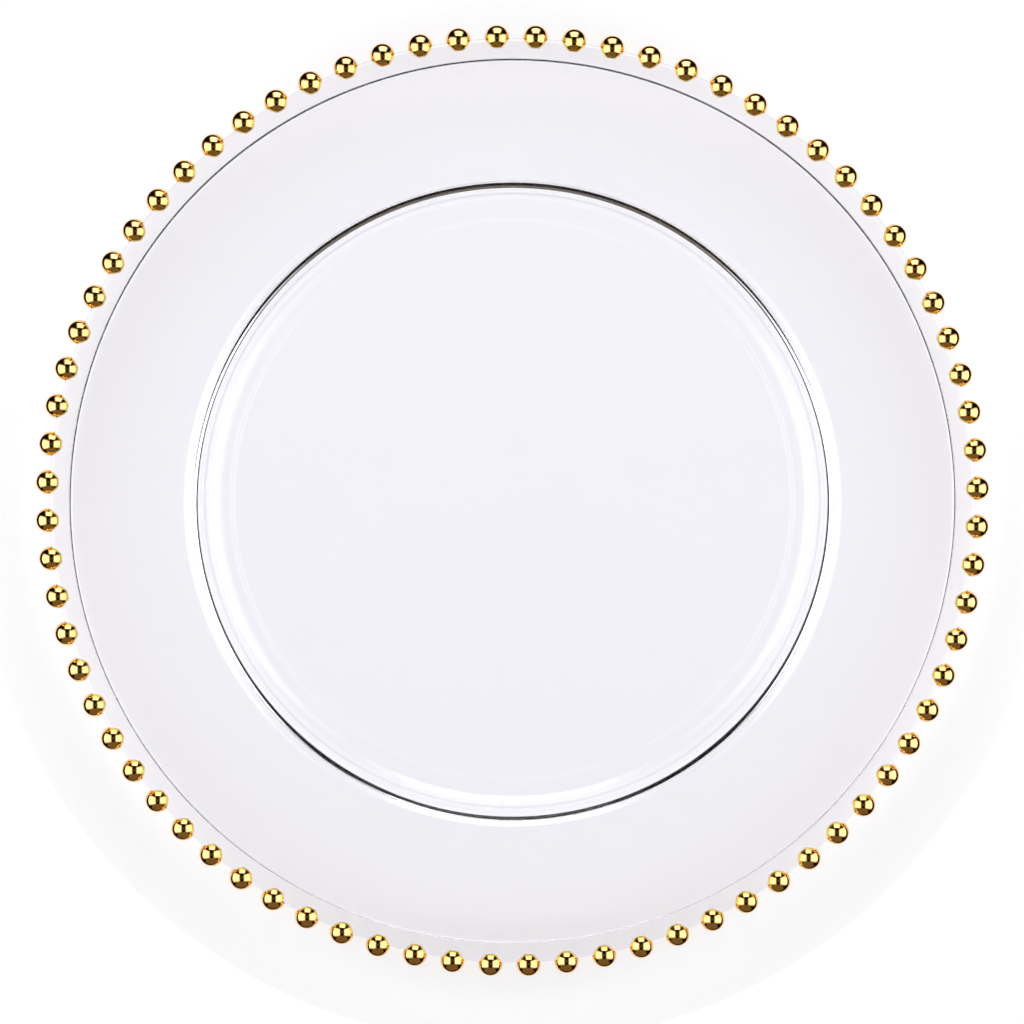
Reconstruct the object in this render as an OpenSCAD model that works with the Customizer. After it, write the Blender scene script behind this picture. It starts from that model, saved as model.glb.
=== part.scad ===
// Clear glass charger plate with a ring of gold beads set into the edge of its rim.
// The axis of the plate is Z and its foot ring rests on z = 0.

/* [Beads] */
// Diameter of the circle through the bead centres
bead_ring_d = 321.5; // [300:0.5:340]
// Diameter of one bead
bead_d = 8.5; // [6:0.25:9]
// Number of beads round the rim
bead_count = 76; // [57:1:80]
// Distance that the bead centres stand out from the edge of the rim
bead_overhang = 0.2; // [0:0.1:1.6]
// Depth of the bead centres below the top of the rim's edge band
bead_sink = 1.6; // [1:0.1:2.2]
// Glue line between a bead and its pocket
bead_gap = 0.1; // [0.05:0.05:0.3]

/* [Rim] */
// Thickness of the flange
rim_t = 3.2; // [2.6:0.1:4.5]
// Rise of the flange from the shoulder to the edge band
rim_rise = 0.6; // [0:0.1:3]
// Width of the raised band at the edge
band_w = 8.4; // [7:0.1:12]
// Height of the band above the flange
band_h = 1.2; // [0.6:0.1:1.6]
// Slope of the riser up to the band, in degrees
riser_slope = 76; // [60:1:85]
// Radius at the foot of the riser
riser_foot_r = 0.2; // [0.1:0.1:0.6]
// Radius at the top of the riser
riser_head_r = 0.3; // [0.3:0.1:1.2]
// Height of the step in the under side of the rim
under_step_h = 1.2; // [0.3:0.1:1.5]
// Width of the step in the under side
under_step_w = 1.4; // [1:0.1:3]
// How far outside the riser's foot the step in the under side starts
under_step_shift = 0.4; // [0:0.1:1]
// Radius on the upper edge of the band
edge_round = 1.8; // [1:0.1:2.4]
// Radius on the lower edge of the band
under_round = 1.3; // [0.3:0.1:1.6]

/* [Well] */
// Diameter at which the flange starts to curve down
shoulder_d = 232.2; // [225:0.2:245]
// Diameter of the flat floor
floor_d = 198.8; // [180:0.2:204]
// Depth of the floor below the flange
well_depth = 15.5; // [12:0.5:22]
// Radius of the shoulder's upper surface
shoulder_r = 7.5; // [5:0.1:8]
// Radius of the cove's upper surface, between wall and floor
cove_r = 8.5; // [6:0.1:9.6]
// Thickness of the wall
wall_t = 2.9; // [2.5:0.1:4]
// Radius where the wall's outer side meets the under side of the flange
flange_round = 3.6; // [2:0.1:5]
// Thickness of the floor
floor_t = 3.2; // [2.6:0.1:5]

/* [Foot] */
// Height of the recess under the floor
recess_h = 0.5; // [0.4:0.1:1.5]
// Radius at the outer corner of the base
base_round = 8.6; // [6:0.1:9]
// Width of the ring that the plate stands on
foot_w = 1.8; // [1:0.1:5]
// Width of the slope from the foot ring up into the recess
foot_slope_w = 2.4; // [0.6:0.1:3]

/* [Hidden] */
$fn = 180;
// Sides of a bead's and a pocket's circles where they are drawn as a mesh
bead_sides = 60;

// Straight pieces that the outline's large arcs, and its small arcs and curved steps, are drawn with
arc_steps = 12;
small_steps = 4;
// How far a cutting shape runs past what it cuts
overrun = 1;
// Least distance from the flat floor out to the shoulder, which a small shoulder leaves to the wall
wall_run_min = 8;

// Bead nodes, each a run of neighbouring beads
bead_groups = 19;
function bead_node(g) = str("gold_beads_", g < 10 ? "0" : "", g);

bead_r = bead_d / 2;
bead_ring_r = bead_ring_d / 2;
pocket_r = bead_r + bead_gap;

// Heights, all above the table
floor_under_z = recess_h;
floor_top_z = floor_under_z + floor_t;
flange_top_z = floor_top_z + well_depth;
flange_under_z = flange_top_z - rim_t;
band_foot_z = flange_top_z + rim_rise;
band_top_z = band_foot_z + band_h;
band_under_z = band_foot_z - rim_t + under_step_h;
bead_z = band_top_z - bead_sink;

// Radii from the axis
shoulder_ring_r = shoulder_d / 2;
floor_r = min(floor_d / 2, shoulder_ring_r - wall_run_min);
edge_r = bead_ring_r - bead_overhang;
band_r = edge_r - band_w;
under_step_r = band_r + under_step_shift;

// Two rounds that share a length keep their radii only where both have room
function fit(length, radii) = min(1, length / radii);
well_fit = fit(shoulder_ring_r - floor_r, shoulder_r + cove_r);
shoulder_upper_r = shoulder_r * well_fit;
cove_upper_r = cove_r * well_fit;
edge_fit = fit(band_top_z - band_under_z, edge_round + under_round);

// The wall is the straight line that touches both the shoulder's arc and the cove's arc
shoulder_c = [shoulder_ring_r, flange_top_z - shoulder_upper_r];
cove_c = [floor_r, floor_top_z + cove_upper_r];
span = shoulder_c - cove_c;
wall_a = atan2(span.y, span.x) + asin((shoulder_upper_r + cove_upper_r) / norm(span));
wall_out = [sin(wall_a), -cos(wall_a)];
outer_wall = cove_c + (cove_upper_r + wall_t) * wall_out;

// Centre, at height z, of a round whose centre is the distance off from the wall's outer side
function round_centre(off, z) =
    let (p = outer_wall + off * wall_out) [p.x + (z - p.y) / tan(wall_a), z];

under_fit = fit(flange_under_z, (base_round + flange_round) * (1 - cos(wall_a)));
base_r = base_round * under_fit;
flange_r = flange_round * under_fit;
base_c = round_centre(-base_r, base_r);
flange_c = round_centre(flange_r, flange_under_z - flange_r);
foot_in_r = base_c.x - foot_w;

// Points on an arc about c, from angle a to angle b
function arc(c, r, a, b, n) =
    [for (i = [0 : n]) let (t = a + (b - a) * i / n) c + r * [cos(t), sin(t)]];

// Points of a riser that starts level at p: a round, a straight slope and a round
function riser(p, h, slope, foot_r, head_r, n) =
    let (
        turn = 1 - cos(slope),
        k = fit(h, (foot_r + head_r) * turn),
        a = foot_r * k,
        b = head_r * k,
        run = (a + b) * sin(slope) + (h - (a + b) * turn) / tan(slope)
    )
    concat(
        arc([p.x, p.y + a], a, -90, slope - 90, n),
        arc([p.x + run, p.y + h - b], b, slope + 90, 90, n)
    );

// Points of a curved step from p to q that is level at both ends
function step(p, q, n) =
    [for (i = [0 : n]) let (s = i / n) [p.x + (q.x - p.x) * s, p.y + (q.y - p.y) * (1 - cos(180 * s)) / 2]];

upper_outline = concat(
    [[0, floor_top_z]],
    arc(cove_c, cove_upper_r, -90, wall_a - 90, arc_steps),
    arc(shoulder_c, shoulder_upper_r, wall_a + 90, 90, arc_steps),
    riser([band_r, band_foot_z], band_h, riser_slope, riser_foot_r, riser_head_r, small_steps),
    [[edge_r, band_top_z]]
);

under_outline = concat(
    [[edge_r, band_under_z]],
    step([under_step_r + under_step_w, band_under_z], [under_step_r, band_foot_z - rim_t], small_steps),
    arc(flange_c, flange_r, 90, wall_a + 90, arc_steps),
    arc(base_c, base_r, wall_a - 90, -90, arc_steps),
    step([foot_in_r, 0], [foot_in_r - foot_slope_w, floor_under_z], small_steps),
    [[0, floor_under_z]]
);

module at_each_bead(first = 0, last = bead_count - 1) {
    for (i = [first : last])
        rotate(360 * i / bead_count) translate([bead_ring_r, 0, bead_z]) children();
}

// What a round of radius r takes off the corner of an outline whose top right corner is the origin
module corner_cut(r) {
    difference() {
        translate([-r, -r]) square(r + overrun);
        translate([-r, -r]) circle(r = r);
    }
}

module plate_blank() {
    rotate_extrude() difference() {
        polygon(concat(upper_outline, under_outline));
        translate([edge_r, band_top_z]) corner_cut(edge_round * edge_fit);
        translate([edge_r, band_under_z]) mirror([0, 1]) corner_cut(under_round * edge_fit);
    }
}

module glass_plate() {
    color([0.9, 0.92, 0.97, 0.4])
        difference() {
            plate_blank();
            at_each_bead() sphere(r = pocket_r, $fn = bead_sides);
        }
}

module gold_bead() {
    sphere(d = bead_d, $fn = bead_sides);
}

// One run of neighbouring beads
module gold_beads(g) {
    color([0.86, 0.64, 0.16])
        for (i = [0 : bead_count - 1])
            if (floor(i * bead_groups / bead_count) == g - 1) at_each_bead(i, i) gold_bead();
}

glass_plate();
for (g = [1 : bead_groups]) gold_beads(g);
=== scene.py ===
"""Clear glass charger plate with a ring of gold beads in its rim, on a pale plinth between softboxes."""
import math

import bmesh
import bpy
from mathutils import Matrix, Vector


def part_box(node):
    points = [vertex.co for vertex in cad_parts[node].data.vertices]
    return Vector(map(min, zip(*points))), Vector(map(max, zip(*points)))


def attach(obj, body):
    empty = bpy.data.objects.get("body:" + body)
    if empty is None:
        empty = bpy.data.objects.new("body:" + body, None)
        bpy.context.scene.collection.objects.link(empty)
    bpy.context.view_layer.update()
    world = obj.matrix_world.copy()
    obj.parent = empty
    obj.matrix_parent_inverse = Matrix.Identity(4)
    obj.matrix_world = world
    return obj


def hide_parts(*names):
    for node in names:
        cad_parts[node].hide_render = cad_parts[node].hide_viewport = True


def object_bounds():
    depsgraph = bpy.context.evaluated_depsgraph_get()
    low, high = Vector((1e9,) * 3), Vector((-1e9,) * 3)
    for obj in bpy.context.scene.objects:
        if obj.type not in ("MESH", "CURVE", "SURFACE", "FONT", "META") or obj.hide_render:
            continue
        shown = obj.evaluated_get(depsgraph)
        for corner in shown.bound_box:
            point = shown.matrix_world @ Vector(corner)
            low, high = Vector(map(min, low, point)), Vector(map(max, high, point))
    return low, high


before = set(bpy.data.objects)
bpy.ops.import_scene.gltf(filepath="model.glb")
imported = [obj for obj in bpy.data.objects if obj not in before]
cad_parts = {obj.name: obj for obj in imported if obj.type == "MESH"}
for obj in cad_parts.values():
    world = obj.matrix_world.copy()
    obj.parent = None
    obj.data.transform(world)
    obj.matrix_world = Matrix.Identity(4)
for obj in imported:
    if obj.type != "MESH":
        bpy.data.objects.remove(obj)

CAD_LOW, CAD_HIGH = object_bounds()
MM = 0.001

# The beads: their nodes, size and circle come from the frame
BEAD_NODES = sorted(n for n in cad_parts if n.startswith("gold_beads"))
BEADS = 76
BEAD_R = (CAD_HIGH.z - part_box(BEAD_NODES[0])[0].z) / 2
BEAD_Z = CAD_HIGH.z - BEAD_R
BEAD_RING_R = CAD_HIGH.x - BEAD_R
BEAD_SEAT_GAP = 0.03 * MM
BEADS_PER_RUN = BEADS // len(BEAD_NODES)
BEAD_FINENESS = 4
# The flats on a bead's inboard side, where it sits in the rim: their directions, their distances from its
# centre as shares of its radius, and how sharply they meet the ball
FLAT_TURNS = (math.pi, math.radians(131.7), math.radians(-131.7))
FLAT_SHARES = (0.89, 0.87, 0.87)
FLAT_BLEND = 20

# The plate's outline, in radii from the axis and heights above its foot
RIM_T = 3.2 * MM
RIM_RISE = 0.6 * MM
BAND_W = 8.4 * MM
BAND_H = 1.2 * MM
RISER_SLOPE = math.radians(76)
RISER_FOOT_R = 0.2 * MM
RISER_HEAD_R = 0.3 * MM
UNDER_STEP_H = 1.2 * MM
UNDER_STEP_W = 1.4 * MM
UNDER_STEP_SHIFT = 0.4 * MM
EDGE_ROUND = 1.8 * MM
UNDER_ROUND = 1.3 * MM
SHOULDER_RING_R = 116.1 * MM
FLOOR_R = 99.4 * MM
FOOT_W = 1.8 * MM
SHOULDER_R = 7.5 * MM
COVE_R = 8.5 * MM
FLOOR_T = 3.2 * MM
RECESS_H = 0.5 * MM
FOOT_SLOPE_W = 2.4 * MM
WALL_T = 2.9 * MM
BASE_ROUND = 8.6 * MM
FLANGE_ROUND = 3.6 * MM
EDGE_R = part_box("glass_plate")[1].x
BAND_TOP_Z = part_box("glass_plate")[1].z
BAND_R = EDGE_R - BAND_W
BAND_FOOT_Z = BAND_TOP_Z - BAND_H
FLANGE_TOP_Z = BAND_FOOT_Z - RIM_RISE
BAND_UNDER_Z = BAND_FOOT_Z - RIM_T + UNDER_STEP_H
UNDER_STEP_R = BAND_R + UNDER_STEP_SHIFT
FLOOR_TOP_Z = RECESS_H + FLOOR_T
ARC_POINTS = 28
STEP_POINTS = 14
ROUND_POINTS = 10
SIDES_PER_BEAD = 8
PLATE_SIDES = BEADS * SIDES_PER_BEAD
SHARP_ANGLE = math.radians(35)

# The camera: its lens, the width that it sees at the beads' height, its tilt and its aim
PHOTO_LENS = 150.0
PHOTO_SENSOR = 36.0
PHOTO_W = 354.4 * MM
CAMERA_TILT = math.radians(4.0)
CAMERA_LEAN = math.radians(-0.5)
AIM_DOWN = 2.7 * MM
AIM_LEFT = 0.3 * MM
CLIP_NEAR, CLIP_FAR = 0.05, 50
# The photo's frame is turned a little from the plate's first bead
PHOTO_TURN = Matrix.Rotation(math.radians(-1.95), 4, "Z")

# The round plinth that the plate stands on, and the floor below it that fills the photo's corners
PLINTH_COLOUR = (0.745, 0.757, 0.785, 1)
PLINTH_GLOW = 0.27
PLINTH_R = 187.5 * MM
PLINTH_SHIFT = 5 * MM
PLINTH_H = 150 * MM
STUDIO_FLOOR_R = 330 * MM
STUDIO_FLOOR_H = 3 * MM
STUDIO_FLOOR_COLOUR = (0.02, 0.02, 0.02, 1)
STUDIO_FLOOR_GLOW = 1.0
PALE_ROUGHNESS = 0.9
PALE_SPECULAR = 0.1
STAGE_SIDES = 256
STAGE_GAP = 0.02 * MM

# Each softbox is three lamps, one in front of the other, so that its middle is the brightest. The columns:
# name, azimuth, distance, spread, lowest and highest elevation seen from the plate, radiance, colour
SOFTBOXES = (
    ("right_softbox", -2, 1.16, 74, -8, 74, 0.235, (1, 1, 1)),
    ("right_softbox_middle", -2, 1.13, 66, -3, 69, 0.67, (1, 1, 1)),
    ("right_softbox_core", -2, 1.1, 52, 2, 62, 1.44, (1, 1, 1)),
    ("left_softbox", 182, 1.16, 74, -8, 74, 0.235, (1, 1, 1)),
    ("left_softbox_middle", 182, 1.13, 66, -3, 69, 0.67, (1, 1, 1)),
    ("left_softbox_core", 182, 1.1, 52, 2, 62, 1.44, (1, 1, 1)),
    ("back_softbox", 88, 1.26, 63, -12, 48, 0.235, (1, 1, 1)),
    ("back_softbox_middle", 88, 1.23, 54, -8, 43, 0.67, (1, 1, 1)),
    ("back_softbox_core", 88, 1.2, 42, -3, 39, 2.04, (1, 1, 1)),
    ("front_panel", -93, 1.3, 77, -12, 56, 0.16, (1, 0.78, 0.46)),
    ("overhead_panel", -90, 1.2, 24, 78, 104, 0.07, (1, 0.8, 0.5)),
)
RADIANCE_TO_POWER = math.pi
WHITE = (1, 1, 1, 1)
ROOM_COLOUR = (0.005, 0.004, 0.003, 1)

# The finishes: clear glass, polished gold and the smears on both
GLASS_COLOUR = (0.955, 0.945, 0.98, 1)
GLASS_IOR = 1.5
GLASS_ROUGHNESS = (0.0, 0.012)
GLASS_SMEAR_SIZE = 14
GLASS_RIPPLE_H = 0.004 * MM
# What light keeps on its way through the glass to the plinth
GLASS_THROUGH = (0.998, 0.997, 1.0, 1)
GOLD_BRIGHT = (1.0, 0.6, 0.15, 1)
GOLD_SMEARED = (0.97, 0.56, 0.12, 1)
# Painted bounce light: the deeper gold painted where a bead sits in the rim
GOLD_PAINTED_BOUNCE = (1.0, 0.6, 0.05, 1)
GOLD_EDGE = (1.0, 0.55, 0.16, 1)
GOLD_COAT_IOR = 1.7
GOLD_COAT_ROUGHNESS = 0.02
GOLD_ROUGHNESS = (0.03, 0.07)
GOLD_SMEAR_SIZE = 320
# How near a flat the painted deeper gold starts, which stands in for light bouncing from gold to gold, and
# where it is deepest
PAINTED_BOUNCE_FROM, PAINTED_BOUNCE_TO = 0.68, 0.76
SMEAR_DETAIL = 4
SMEAR_DISTORTION = 0.6
SMEAR_FROM, SMEAR_TO = 0.42, 0.7


def arc(centre, radius, start, end, points):
    """Points on an arc about centre, from angle start to angle end in radians."""
    turns = [start + (end - start) * i / points for i in range(points + 1)]
    return [(centre[0] + radius * math.cos(t), centre[1] + radius * math.sin(t)) for t in turns]


def step(low, high, points):
    """Points of a curved step from low to high that is level at both ends."""
    shares = [i / points for i in range(points + 1)]
    return [
        (low[0] + (high[0] - low[0]) * s, low[1] + (high[1] - low[1]) * (1 - math.cos(math.pi * s)) / 2)
        for s in shares
    ]


def riser(start, height, slope, foot_r, head_r, points):
    """Points of a riser that starts level: a round, a straight slope and a round."""
    bend = (foot_r + head_r) * (1 - math.cos(slope))
    run = (foot_r + head_r) * math.sin(slope) + (height - bend) / math.tan(slope)
    foot = arc((start[0], start[1] + foot_r), foot_r, -math.pi / 2, slope - math.pi / 2, points)
    head = (start[0] + run, start[1] + height - head_r)
    return foot + arc(head, head_r, slope + math.pi / 2, math.pi / 2, points)


def round_centre(on_line, slope, height):
    """Centre of a round at that height, on the line through on_line with that slope."""
    return (on_line.x + (height - on_line.y) / math.tan(slope), height)


def plate_outline():
    """The plate's section, from the axis over the top, round the edge and back under to the axis."""
    right = math.pi / 2
    shoulder_c = (SHOULDER_RING_R, FLANGE_TOP_Z - SHOULDER_R)
    cove_c = (FLOOR_R, FLOOR_TOP_Z + COVE_R)
    span = Vector(shoulder_c) - Vector(cove_c)
    wall = math.atan2(span.y, span.x) + math.asin((SHOULDER_R + COVE_R) / span.length)
    outward = Vector((math.sin(wall), -math.cos(wall)))
    wall_out = Vector(cove_c) + outward * (COVE_R + WALL_T)
    base_c = round_centre(wall_out - outward * BASE_ROUND, wall, BASE_ROUND)
    flange_c = round_centre(wall_out + outward * FLANGE_ROUND, wall, FLANGE_TOP_Z - RIM_T - FLANGE_ROUND)
    top = [(0, FLOOR_TOP_Z)]
    top += arc(cove_c, COVE_R, -right, wall - right, ARC_POINTS)
    top += arc(shoulder_c, SHOULDER_R, wall + right, right, ARC_POINTS)
    top += riser((BAND_R, BAND_FOOT_Z), BAND_H, RISER_SLOPE, RISER_FOOT_R, RISER_HEAD_R, ROUND_POINTS)
    top += arc((EDGE_R - EDGE_ROUND, BAND_TOP_Z - EDGE_ROUND), EDGE_ROUND, right, 0, ROUND_POINTS)
    under = arc((EDGE_R - UNDER_ROUND, BAND_UNDER_Z + UNDER_ROUND), UNDER_ROUND, 0, -right, ROUND_POINTS)
    band_side = (UNDER_STEP_R + UNDER_STEP_W, BAND_UNDER_Z)
    under += step(band_side, (UNDER_STEP_R, BAND_FOOT_Z - RIM_T), STEP_POINTS)
    under += arc(flange_c, FLANGE_ROUND, right, wall + right, ARC_POINTS)
    under += arc(base_c, BASE_ROUND, wall - right, -right, ARC_POINTS)
    foot_in_r = base_c[0] - FOOT_W
    under += step((foot_in_r, 0), (foot_in_r - FOOT_SLOPE_W, RECESS_H), STEP_POINTS)
    return top + under + [(0, RECESS_H)]


def new_object(name, mesh):
    piece = bpy.data.objects.new(name, mesh)
    bpy.context.scene.collection.objects.link(piece)
    return piece


def revolve(name, outline, sides):
    """A closed mesh: the outline, which starts and ends on the axis, turned about Z."""
    form = bmesh.new()
    ends = [form.verts.new((0, 0, outline[0][1])), form.verts.new((0, 0, outline[-1][1]))]
    turns = [2 * math.pi * i / sides for i in range(sides)]
    rings = [[form.verts.new((r * math.cos(t), r * math.sin(t), z)) for t in turns] for r, z in outline[1:-1]]
    for i in range(sides):
        j = (i + 1) % sides
        form.faces.new((ends[0], rings[0][i], rings[0][j]))
        form.faces.new((ends[1], rings[-1][j], rings[-1][i]))
        for outer, inner in zip(rings[1:], rings):
            form.faces.new((inner[i], outer[i], outer[j], inner[j]))
    bmesh.ops.recalc_face_normals(form, faces=form.faces)
    mesh = bpy.data.meshes.new(name)
    form.to_mesh(mesh)
    form.free()
    return new_object(name, mesh)


def flat_nearness(direction):
    """For each flat, how near a direction from the bead's centre comes to it: 1 is at its rim."""
    facings = [direction.x * math.cos(turn) + direction.y * math.sin(turn) for turn in FLAT_TURNS]
    return [max(facing, 0) / share for facing, share in zip(facings, FLAT_SHARES)]


def bead_reach(direction):
    """Distance from a bead's centre to its surface in that direction, whose x points outward."""
    total = 1 + sum(nearness ** FLAT_BLEND for nearness in flat_nearness(direction))
    return BEAD_R * total ** (-1 / FLAT_BLEND)


def bead_turn(index):
    """The turn about the plate's axis that takes the first bead to that one."""
    return Matrix.Rotation(2 * math.pi * index / BEADS, 4, "Z")


def beads_mesh(name, indexes, grown=0.0):
    """A mesh of those beads, each in its place on the rim, grown all round by that much."""
    unit = bmesh.new()
    bmesh.ops.create_icosphere(unit, subdivisions=BEAD_FINENESS, radius=1)
    # A mask of nearness to the flats, which places the painted bounce light on the gold
    painted_bounce_mask = unit.verts.layers.float.new("painted_bounce_mask")
    for v in unit.verts:
        direction = v.co.normalized()
        v[painted_bounce_mask] = max(flat_nearness(direction))
        v.co = direction * (bead_reach(direction) + grown)
    pattern = bpy.data.meshes.new("bead_pattern")
    unit.to_mesh(pattern)
    unit.free()
    form = bmesh.new()
    for index in indexes:
        start = len(form.verts)
        form.from_mesh(pattern)
        form.verts.ensure_lookup_table()
        place = bead_turn(index) @ Matrix.Translation((BEAD_RING_R, 0, BEAD_Z))
        bmesh.ops.transform(form, matrix=place, verts=form.verts[start:])
    bpy.data.meshes.remove(pattern)
    mesh = bpy.data.meshes.new(name)
    form.to_mesh(mesh)
    form.free()
    return mesh


def make_plate():
    """The clear plate, with a seat for each bead cut into its rim."""
    plate = revolve("clear_plate", plate_outline(), PLATE_SIDES)
    seats = new_object("bead_seats", beads_mesh("bead_seats", range(BEADS), BEAD_SEAT_GAP))
    cut = plate.modifiers.new("seats", "BOOLEAN")
    cut.operation = "DIFFERENCE"
    cut.solver = "MANIFOLD"
    cut.object = seats
    graph = bpy.context.evaluated_depsgraph_get()
    mesh = bpy.data.meshes.new_from_object(plate.evaluated_get(graph))
    plate.modifiers.clear()
    plate.data = mesh
    bpy.data.objects.remove(seats)
    mesh.shade_smooth()
    mesh.set_sharp_from_angle(angle=SHARP_ANGLE)
    return plate


def make_bead_run(node):
    """The beads of one CAD node, found from where the node lies."""
    low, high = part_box(node)
    middle = (low + high) / 2
    turn = math.atan2(middle.y, middle.x) * BEADS / (2 * math.pi)
    first = round(turn - (BEADS_PER_RUN - 1) / 2)
    name = node.replace("gold_beads", "bead_run")
    run = new_object(name, beads_mesh(name, range(first, first + BEADS_PER_RUN)))
    run.data.shade_smooth()
    return run


def input_value(shader, name, value):
    shader.inputs[name].default_value = value


def link(tree, source, target):
    tree.links.new(source, target)


def make_smear_group():
    """Faint smears, as a wiped and polished surface has them: a mask from 0 to 1."""
    group = bpy.data.node_groups.new("wiped_smears", "ShaderNodeTree")
    group.interface.new_socket(name="Smear Size", in_out="INPUT", socket_type="NodeSocketFloat")
    group.interface.new_socket(name="Smears", in_out="OUTPUT", socket_type="NodeSocketFloat")
    start = group.nodes.new("NodeGroupInput")
    end = group.nodes.new("NodeGroupOutput")
    place = group.nodes.new("ShaderNodeTexCoord")
    smear = group.nodes.new("ShaderNodeTexNoise")
    smear.inputs["Detail"].default_value = SMEAR_DETAIL
    smear.inputs["Distortion"].default_value = SMEAR_DISTORTION
    spread = group.nodes.new("ShaderNodeMapRange")
    spread.interpolation_type = "SMOOTHSTEP"
    spread.inputs["From Min"].default_value = SMEAR_FROM
    spread.inputs["From Max"].default_value = SMEAR_TO
    link(group, place.outputs["Object"], smear.inputs["Vector"])
    link(group, start.outputs["Smear Size"], smear.inputs["Scale"])
    link(group, smear.outputs["Fac"], spread.inputs["Value"])
    link(group, spread.outputs["Result"], end.inputs["Smears"])
    return group


def new_material(name):
    """A material that has only its output and its main shader."""
    material = bpy.data.materials.new(name)
    material.use_nodes = True
    tree = material.node_tree
    tree.nodes.clear()
    out = tree.nodes.new("ShaderNodeOutputMaterial")
    shader = tree.nodes.new("ShaderNodeBsdfPrincipled")
    return material, tree, out, shader


def vary(tree, mask, values, target):
    """Maps a mask from 0 to 1 onto a range of values for a shader's socket."""
    span = tree.nodes.new("ShaderNodeMapRange")
    span.inputs["To Min"].default_value, span.inputs["To Max"].default_value = values
    link(tree, mask, span.inputs["Value"])
    link(tree, span.outputs["Result"], target)


def bump(tree, height, distance, shader):
    """A fine relief on a shader's surface, with that distance from its lowest to its highest."""
    node = tree.nodes.new("ShaderNodeBump")
    node.inputs["Strength"].default_value = 1
    node.inputs["Distance"].default_value = distance
    link(tree, height, node.inputs["Height"])
    link(tree, node.outputs["Normal"], shader.inputs["Normal"])


def clear_glass(smears):
    """Clear pressed glass: faintly lavender, with a slow ripple and faint smears."""
    material, tree, out, glass = new_material("clear_pressed_glass")
    input_value(glass, "Base Color", GLASS_COLOUR)
    input_value(glass, "Transmission Weight", 1)
    input_value(glass, "IOR", GLASS_IOR)
    wiped = tree.nodes.new("ShaderNodeGroup")
    wiped.node_tree = smears
    wiped.inputs["Smear Size"].default_value = GLASS_SMEAR_SIZE
    vary(tree, wiped.outputs["Smears"], GLASS_ROUGHNESS, glass.inputs["Roughness"])
    bump(tree, wiped.outputs["Smears"], GLASS_RIPPLE_H, glass)
    through = tree.nodes.new("ShaderNodeBsdfTransparent")
    through.inputs["Color"].default_value = GLASS_THROUGH
    path = tree.nodes.new("ShaderNodeLightPath")
    mix = tree.nodes.new("ShaderNodeMixShader")
    clear = tree.nodes.new("ShaderNodeMath")
    clear.operation = "MAXIMUM"
    link(tree, path.outputs["Is Shadow Ray"], clear.inputs[0])
    link(tree, path.outputs["Is Diffuse Ray"], clear.inputs[1])
    link(tree, clear.outputs["Value"], mix.inputs["Fac"])
    link(tree, glass.outputs["BSDF"], mix.inputs[1])
    link(tree, through.outputs["BSDF"], mix.inputs[2])
    link(tree, mix.outputs["Shader"], out.inputs["Surface"])
    return material


def polished_gold(smears):
    """Mirror-polished gold plating with faint smears."""
    material, tree, out, gold = new_material("polished_gold_plating")
    input_value(gold, "Metallic", 1)
    input_value(gold, "Coat Weight", 1)
    input_value(gold, "Coat IOR", GOLD_COAT_IOR)
    input_value(gold, "Specular Tint", GOLD_EDGE)
    input_value(gold, "Coat Roughness", GOLD_COAT_ROUGHNESS)
    wiped = tree.nodes.new("ShaderNodeGroup")
    wiped.node_tree = smears
    wiped.inputs["Smear Size"].default_value = GOLD_SMEAR_SIZE
    tone = tree.nodes.new("ShaderNodeMix")
    tone.data_type = "RGBA"
    tone.inputs["A"].default_value = GOLD_BRIGHT
    tone.inputs["B"].default_value = GOLD_SMEARED
    link(tree, wiped.outputs["Smears"], tone.inputs["Factor"])
    # Painted bounce light: where a bead sits in the rim, its gold is painted deeper, standing in for light
    # that goes from gold to gold
    painted_bounce_mask = tree.nodes.new("ShaderNodeAttribute")
    painted_bounce_mask.attribute_name = "painted_bounce_mask"
    depth = tree.nodes.new("ShaderNodeMapRange")
    depth.inputs["From Min"].default_value = PAINTED_BOUNCE_FROM
    depth.inputs["From Max"].default_value = PAINTED_BOUNCE_TO
    deep = tree.nodes.new("ShaderNodeMix")
    deep.data_type = "RGBA"
    deep.inputs["B"].default_value = GOLD_PAINTED_BOUNCE
    link(tree, painted_bounce_mask.outputs["Fac"], depth.inputs["Value"])
    link(tree, depth.outputs["Result"], deep.inputs["Factor"])
    link(tree, tone.outputs["Result"], deep.inputs["A"])
    link(tree, deep.outputs["Result"], gold.inputs["Base Color"])
    vary(tree, wiped.outputs["Smears"], GOLD_ROUGHNESS, gold.inputs["Roughness"])
    link(tree, gold.outputs["BSDF"], out.inputs["Surface"])
    return material


def pale_material(name, colour, glow):
    """Plain pale surface. The glow makes it white to the camera, and in metal and glass alike."""
    material, tree, out, matt = new_material(name)
    input_value(matt, "Base Color", colour)
    input_value(matt, "Roughness", PALE_ROUGHNESS)
    input_value(matt, "Specular IOR Level", PALE_SPECULAR)
    input_value(matt, "Emission Color", WHITE)
    path = tree.nodes.new("ShaderNodeLightPath")
    level = path.outputs["Is Camera Ray"]
    for ray in ("Is Glossy Ray", "Is Transmission Ray"):
        either = tree.nodes.new("ShaderNodeMath")
        either.operation = "MAXIMUM"
        link(tree, level, either.inputs[0])
        link(tree, path.outputs[ray], either.inputs[1])
        level = either.outputs["Value"]
    strength = tree.nodes.new("ShaderNodeMath")
    strength.operation = "MULTIPLY"
    strength.inputs[1].default_value = glow
    link(tree, level, strength.inputs[0])
    link(tree, strength.outputs["Value"], matt.inputs["Emission Strength"])
    link(tree, matt.outputs["BSDF"], out.inputs["Surface"])
    return material


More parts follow.
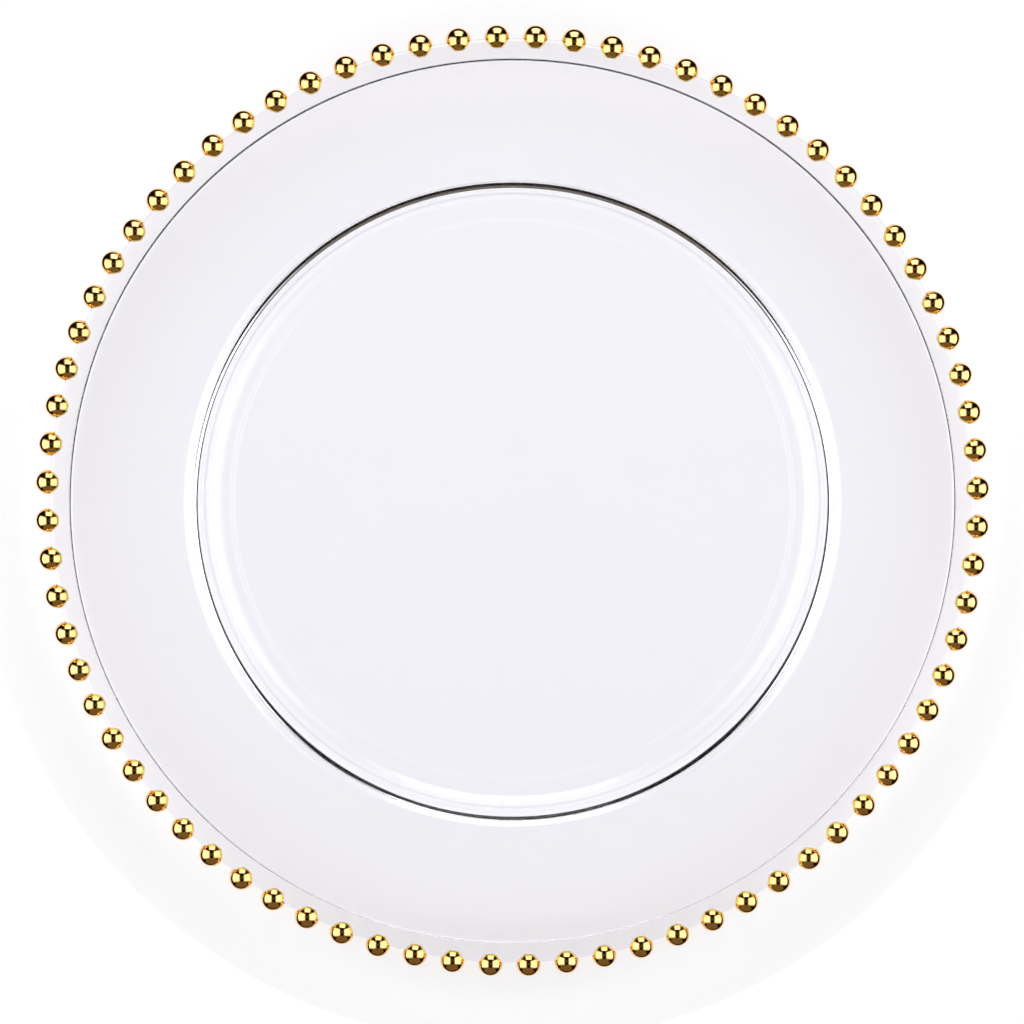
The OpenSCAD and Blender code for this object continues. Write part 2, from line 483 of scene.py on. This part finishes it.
def make_stage():
    """A pale plinth on a pale floor. The room beyond is dark, as the photo's beads show it."""
    plinth = pale_material("pale_plinth", PLINTH_COLOUR, PLINTH_GLOW)
    floor = pale_material("pale_floor", STUDIO_FLOOR_COLOUR, STUDIO_FLOOR_GLOW)
    for name, radius, height, top, material in (
        ("plinth", PLINTH_R, PLINTH_H, -STAGE_GAP, plinth),
        ("floor", STUDIO_FLOOR_R, STUDIO_FLOOR_H, -STAGE_GAP - PLINTH_H, floor),
    ):
        form = bmesh.new()
        bmesh.ops.create_cone(
            form, cap_ends=True, segments=STAGE_SIDES, radius1=radius, radius2=radius, depth=height
        )
        mesh = bpy.data.meshes.new(name)
        form.to_mesh(mesh)
        form.free()
        mesh.materials.append(material)
        piece = new_object(name, mesh)
        piece.matrix_world = PHOTO_TURN @ Matrix.Translation((0, -PLINTH_SHIFT, top - height / 2))


def make_softbox(name, azimuth, distance, spread, low, high, radiance, colour):
    """A flat panel that leans in, so that its face points at the plate."""
    turn = math.radians(azimuth)
    middle = math.radians((low + high) / 2)
    width = 2 * distance * math.tan(math.radians(spread / 2))
    height = 2 * distance * math.tan(math.radians((high - low) / 2))
    lamp = bpy.data.lights.new(name, "AREA")
    lamp.shape = "RECTANGLE"
    lamp.size = width
    lamp.size_y = height
    lamp.color = colour
    lamp.energy = radiance * width * height * RADIANCE_TO_POWER
    place = bpy.data.objects.new(name, lamp)
    bpy.context.scene.collection.objects.link(place)
    away = Vector((math.cos(turn) * math.cos(middle), math.sin(turn) * math.cos(middle), math.sin(middle)))
    away.rotate(PHOTO_TURN)
    place.location = away * distance + Vector((0, 0, BEAD_Z))
    place.rotation_mode = "QUATERNION"
    place.rotation_quaternion = away.to_track_quat("Z", "Y")
    place.visible_camera = False


def make_camera():
    """The photo's view, from almost straight above."""
    data = bpy.data.cameras.new("photo_camera")
    data.lens = PHOTO_LENS
    data.sensor_width = PHOTO_SENSOR
    data.clip_start, data.clip_end = CLIP_NEAR, CLIP_FAR
    camera = bpy.data.objects.new("photo_camera", data)
    bpy.context.scene.collection.objects.link(camera)
    aim = Vector((-AIM_LEFT, -AIM_DOWN, BEAD_Z))
    away = Vector((math.sin(CAMERA_LEAN), math.sin(CAMERA_TILT), math.cos(CAMERA_TILT))).normalized()
    camera.location = aim + away * (PHOTO_LENS / PHOTO_SENSOR * PHOTO_W)
    side = Vector((0, 1, 0)).cross(away).normalized()
    up = away.cross(side)
    facing = Matrix((side, up, away)).transposed().to_4x4()
    camera.matrix_world = PHOTO_TURN @ Matrix.Translation(camera.location) @ facing
    bpy.context.scene.camera = camera


def make_world():
    """A dark room, and colours that show as they are written."""
    world = bpy.data.worlds.new("dark_studio")
    world.use_nodes = True
    world.node_tree.nodes["Background"].inputs["Color"].default_value = ROOM_COLOUR
    bpy.context.scene.world = world
    bpy.context.scene.view_settings.view_transform = "Standard"


def main():
    make_camera()
    make_world()
    make_stage()
    for softbox in SOFTBOXES:
        make_softbox(*softbox)
    smears = make_smear_group()
    plate = make_plate()
    plate.data.materials.clear()
    plate.data.materials.append(clear_glass(smears))
    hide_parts("glass_plate")
    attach(plate, "root")
    gold = polished_gold(smears)
    for node in BEAD_NODES:
        run = make_bead_run(node)
        run.data.materials.append(gold)
        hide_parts(node)
        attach(run, "root")


main()
